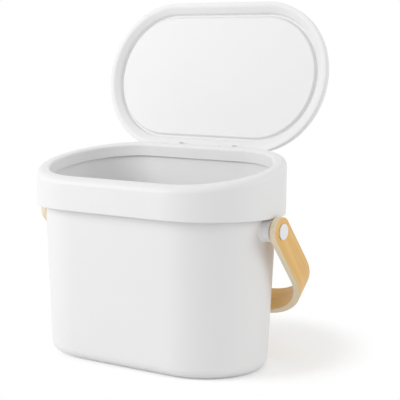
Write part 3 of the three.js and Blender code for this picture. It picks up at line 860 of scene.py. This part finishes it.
class COMPOST_OT_pivots(Operator):
    """Make the capped pins, washers and cap nuts that the handle turns on"""

    bl_idname = "compost.pivots"
    bl_label = "Handle pivots"

    def execute(self, context):
        kinds = (
            ("pivot_pin", "handle_pin", self.pin, False),
            ("pivot_washer", "handle_washer", self.washer, True),
            ("pivot_nut", "pin_nut", self.nut, False),
        )
        for name, side in (("left", -1), ("right", 1)):
            place = along("X", (0, 0, HANDLE_PIVOT.z), side)
            for piece, node, profile, ring in kinds:
                low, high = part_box(f"{node}_right")
                shape = turned(profile(low.x, high.x, (high.z - low.z) / 2), place, closed=ring)
                make_piece(f"{piece}_{name}", shape, "bin", "white_trim", f"{node}_{name}")
        return {"FINISHED"}

    def pin(self, start, end, radius):
        seat = end - CAP_THICKNESS
        return [
            (0, start, 0),
            (PIN_RADIUS, start, PLAIN_EDGE),
            (PIN_RADIUS, seat, 0),
            (radius, seat, CRISP_EDGE),
            (radius, end - CAP_DROP, CAP_ROUND),
            *((radius * part, end - drop, 0) for part, drop in CAP_DOME),
        ]

    def washer(self, start, end, radius):
        return [
            (PIN_HOLE, start, FINE_EDGE),
            (radius, start, SOFT_EDGE),
            (radius, end, SOFT_EDGE),
            (PIN_HOLE, end, FINE_EDGE),
        ]

    def nut(self, start, end, radius):
        return [
            (0, start, 0),
            (radius, start, NUT_COVER),
            (radius, end, PLAIN_EDGE),
            (PIN_HOLE, end, 0),
            (PIN_HOLE, start + NUT_COVER, 0),
            (0, start + NUT_COVER, 0),
        ]


class COMPOST_OT_hinge_pins(Operator):
    """Make the two steel hinge pins"""

    bl_idname = "compost.hinge_pins"
    bl_label = "Hinge pins"

    def execute(self, context):
        for side in ("left", "right"):
            low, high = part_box(f"hinge_pin_{side}")
            radius = (high.z - low.z) / 2
            rows = [(0, low.x, 0), (radius, low.x, PLAIN_EDGE), (radius, high.x, PLAIN_EDGE), (0, high.x, 0)]
            pin = turned(rows, along("X", (0, LID_HINGE.y, LID_HINGE.z)), SMALL_STEPS)
            make_piece(f"hinge_rod_{side}", pin, "collar", "steel", f"hinge_pin_{side}")
        return {"FINISHED"}


class COMPOST_OT_wall_mount(Operator):
    """Make the keyhole mount behind the body"""

    bl_idname = "compost.wall_mount"
    bl_label = "Wall mount"

    def execute(self, context):
        s, body = context.scene.bin_mount, context.scene.bin_body
        low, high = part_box("wall_mount")
        middle_z = (low.z + high.z) / 2
        taper = (body.base_inset - body.seam_inset) / SEAM_HEIGHT
        foot = OVAL_RADIUS - body.base_inset + s.gap
        low.y = foot + taper * low.z
        shell = block(low, high)
        upright = [edge for edge in shell.edges if abs(edge.verts[0].co.y - edge.verts[1].co.y) > s.wall]
        round_off(shell, upright, s.corner_round, 8)
        rim = [edge for edge in shell.edges if all(vert.co.y > high.y - MM for vert in edge.verts)]
        round_off(shell, rim, s.edge_round, 3)
        inset = Vector((s.wall, 0, s.wall))
        deepest = Vector((high.x, high.y - s.back_wall, high.z)) - inset
        shell = carve(shell, block(low + inset - Vector((0, high.y - low.y, 0)), deepest))
        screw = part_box("mount_screw_right")
        inside, outside, half_rise = high.y - 4 * s.back_wall, high.y + MM, s.keyhole_rise / 2
        for side in (-1, 1):
            x = side * s.keyhole_spacing / 2
            for radius, z in ((s.keyhole_radius, -half_rise), (s.slot_radius, half_rise)):
                shell = carve(shell, rod(radius, inside, outside, along("Y", (x, 0, middle_z + z))))
            slot = block(
                (x - s.slot_radius, inside, middle_z - half_rise),
                (x + s.slot_radius, outside, middle_z + half_rise),
            )
            shell = carve(shell, slot)
            end = high.y - s.back_wall / 2
            rows = [(s.bore, low.y, 0), (s.boss_radius, low.y, 0), (s.boss_radius, end, 0), (s.bore, end, 0)]
            at_screw = along("Y", (side * (screw[0].x + screw[1].x) / 2, 0, middle_z))
            gather(shell, turned(rows, at_screw, steps=40, closed=True))
        shear = Matrix.Identity(4)
        shear[1][2] = taper
        front = [vert for vert in shell.verts if vert.co.y < low.y + MM]
        bmesh.ops.transform(shell, matrix=shear, space=Matrix.Translation((0, 0, -low.z)), verts=front)
        make_piece("keyhole_mount", shell, "bin", "white_plastic", "wall_mount", sharp=25)
        return {"FINISHED"}


class COMPOST_OT_mount_screws(Operator):
    """Make the two screws that hold the mount, their heads inside the body"""

    bl_idname = "compost.mount_screws"
    bl_label = "Mount screws"

    def execute(self, context):
        for side in ("left", "right"):
            low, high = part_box(f"mount_screw_{side}")
            middle = (low + high) / 2
            head, head_end = (high.z - low.z) / 2, low.y + SCREW_HEAD
            rows = [
                *((head * part, low.y + drop, 0) for part, drop in SCREW_DOME),
                (head, head_end - SCREW_SIDE, 0),
                (head, head_end, CRISP_EDGE),
                (SCREW_RADIUS, head_end, 0),
                (SCREW_RADIUS, high.y - MM, 0),
                (0, high.y, 0),
            ]
            screw = turned(rows, along("Y", (middle.x, 0, middle.z)), ROD_STEPS)
            for turn in (0, math.pi / 2):
                bar = block(
                    (-CROSS_REACH, low.y - MM, -CROSS_HALF_WIDTH),
                    (CROSS_REACH, low.y + CROSS_DEPTH, CROSS_HALF_WIDTH),
                )
                move(bar, Matrix.Translation((middle.x, 0, middle.z)) @ Matrix.Rotation(turn, 4, "Y"))
                screw = carve(screw, bar)
            make_piece(f"screw_{side}", screw, "bin", "steel", f"mount_screw_{side}")
        return {"FINISHED"}


class COMPOST_OT_pads(Operator):
    """Make the four pads under the floor"""

    bl_idname = "compost.pads"
    bl_label = "Pads"

    def execute(self, context):
        for end in ("front", "back"):
            for side in ("left", "right"):
                low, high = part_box(f"pad_{end}_{side}")
                radius, middle = (high.x - low.x) / 2, (low + high) / 2
                foot, top = low.z, high.z
                rows = [(0, foot, 0), (radius, foot, SOFT_EDGE), (radius, top, FINE_EDGE), (0, top, 0)]
                pad = turned(rows, along("Z", (middle.x, middle.y, 0)))
                make_piece(f"foot_pad_{end}_{side}", pad, "bin", "pads", f"pad_{end}_{side}")
        return {"FINISHED"}


# Floor, lamps and camera


class COMPOST_OT_stage(Operator):
    """Set the floor, the soft lamps and the camera"""

    bl_idname = "compost.stage"
    bl_label = "Floor, lamps and camera"

    def execute(self, context):
        s = context.scene.bin_stage
        self.floor(s)
        self.sky(s)
        for name, power, *placing in LAMPS:
            self.lamp(name, getattr(s, power), *placing)
        self.camera(s)
        context.scene.view_settings.view_transform = "Standard"
        return {"FINISHED"}

    def floor(self, s):
        bm = bmesh.new()
        bmesh.ops.create_grid(bm, x_segments=1, y_segments=1, size=s.floor_size)
        plane = add_object("floor", mesh_of("floor", bm))
        material = bpy.data.materials.new("White floor")
        tree = empty_tree(material)
        place = add_node(tree, "ShaderNodeTexCoord").outputs["Object"]
        tone = between(tree, noise(tree, place, 40.0, 3.0), 0.845, 0.855)
        matte = add_node(tree, "ShaderNodeBsdfDiffuse", {"Color": tone})
        seen = self.seen(tree)
        strength_seen = calculate(tree, "MULTIPLY", seen, s.floor_glow)
        glow = add_node(tree, "ShaderNodeEmission", {"Strength": strength_seen})
        near = add_node(tree, "ShaderNodeAddShader", {0: matte.outputs["BSDF"], 1: glow.outputs["Emission"]})

        middle = (-s.shade_right, -s.shade_back * s.shade_stretch, 0)
        inputs = {"Vector": place, "Location": middle, "Scale": (1, s.shade_stretch, 1)}
        from_patch = add_node(tree, "ShaderNodeMapping", inputs).outputs["Vector"]
        away = add_node(tree, "ShaderNodeVectorMath", {0: from_patch}, operation="LENGTH")
        inputs = {"Value": away.outputs["Value"], "From Min": s.shade_near, "From Max": s.shade_far}
        fade = add_node(tree, "ShaderNodeMapRange", inputs, interpolation_type="SMOOTHSTEP")
        whiteness = calculate(tree, "MULTIPLY", fade.outputs["Result"], seen)
        white = add_node(tree, "ShaderNodeEmission", {"Strength": 1.0})
        inputs = {0: whiteness, 1: near.outputs["Shader"], 2: white.outputs["Emission"]}
        both = add_node(tree, "ShaderNodeMixShader", inputs)
        add_node(tree, "ShaderNodeOutputMaterial", {"Surface": both.outputs["Shader"]})
        plane.data.materials.append(material)

    def seen(self, tree):
        """One for what the camera sees straight, mirrored or through glass, and nought for what lights."""
        rays = add_node(tree, "ShaderNodeLightPath").outputs
        total = calculate(tree, "ADD", rays["Is Camera Ray"], rays["Is Glossy Ray"], use_clamp=True)
        return calculate(tree, "ADD", total, rays["Is Transmission Ray"], use_clamp=True)

    def sky(self, s):
        world = bpy.data.worlds.new("Soft white room")
        bpy.context.scene.world = world
        tree = empty_tree(world)
        room = add_node(tree, "ShaderNodeBackground", {"Color": (1, 1, 1, 1), "Strength": s.sky})
        white = add_node(tree, "ShaderNodeBackground", {"Color": (1, 1, 1, 1), "Strength": 1.0})
        inputs = {0: self.seen(tree), 1: room.outputs["Background"], 2: white.outputs["Background"]}
        mix = add_node(tree, "ShaderNodeMixShader", inputs)
        add_node(tree, "ShaderNodeOutputWorld", {"Surface": mix.outputs["Shader"]})

    def lamp(self, name, power, size, place, target):
        data = bpy.data.lights.new(name, "AREA")
        data.energy, data.size = power, size
        lamp = add_object(name, data)
        lamp.location = place
        lamp.rotation_euler = (Vector(target) - Vector(place)).to_track_quat("-Z", "Y").to_euler()

    def camera(self, s):
        back = Vector(
            (
                math.sin(s.azimuth) * math.cos(s.elevation),
                -math.cos(s.azimuth) * math.cos(s.elevation),
                math.sin(s.elevation),
            )
        )
        right = Vector((math.cos(s.azimuth), math.sin(s.azimuth), 0))
        up = back.cross(right)
        turn = Matrix.Rotation(s.roll, 3, back)
        right, up = turn @ right, turn @ up
        data = bpy.data.cameras.new("Camera")
        data.lens, data.sensor_width = s.lens, 36
        data.clip_start, data.clip_end = 0.05, 50
        camera = add_object("Camera", data)
        place = Vector((0, 0, s.target_height)) + back * s.distance + right * s.shift_right + up * s.shift_up
        camera.matrix_world = Matrix.Translation(place) @ Matrix((right, up, back)).transposed().to_4x4()
        bpy.context.scene.camera = camera


class COMPOST_PT_panel(Panel):
    """Lists the bin's pieces"""

    bl_idname = "COMPOST_PT_panel"
    bl_label = "Compost Bin"
    bl_space_type = "VIEW_3D"
    bl_region_type = "UI"
    bl_category = "Compost Bin"

    def draw(self, context):
        for operator in OPERATORS:
            self.layout.operator(operator.bl_idname)


OPERATORS = (
    COMPOST_OT_body,
    COMPOST_OT_collar,
    COMPOST_OT_lid_cover,
    COMPOST_OT_lid_lining,
    COMPOST_OT_hinge_pins,
    COMPOST_OT_handle,
    COMPOST_OT_pivots,
    COMPOST_OT_wall_mount,
    COMPOST_OT_mount_screws,
    COMPOST_OT_pads,
    COMPOST_OT_stage,
)


def register():
    for name, group in SETTINGS.items():
        bpy.utils.register_class(group)
        setattr(bpy.types.Scene, name, PointerProperty(type=group))
    for cls in (*OPERATORS, COMPOST_PT_panel):
        bpy.utils.register_class(cls)


def unregister():
    for cls in (COMPOST_PT_panel, *reversed(OPERATORS)):
        bpy.utils.unregister_class(cls)
    for name, group in reversed(SETTINGS.items()):
        delattr(bpy.types.Scene, name)
        bpy.utils.unregister_class(group)


def main():
    """Makes every piece in order."""
    register()
    for operator in OPERATORS:
        group, name = operator.bl_idname.split(".")
        getattr(getattr(bpy.ops, group), name)()


if __name__ == "__main__":
    main()
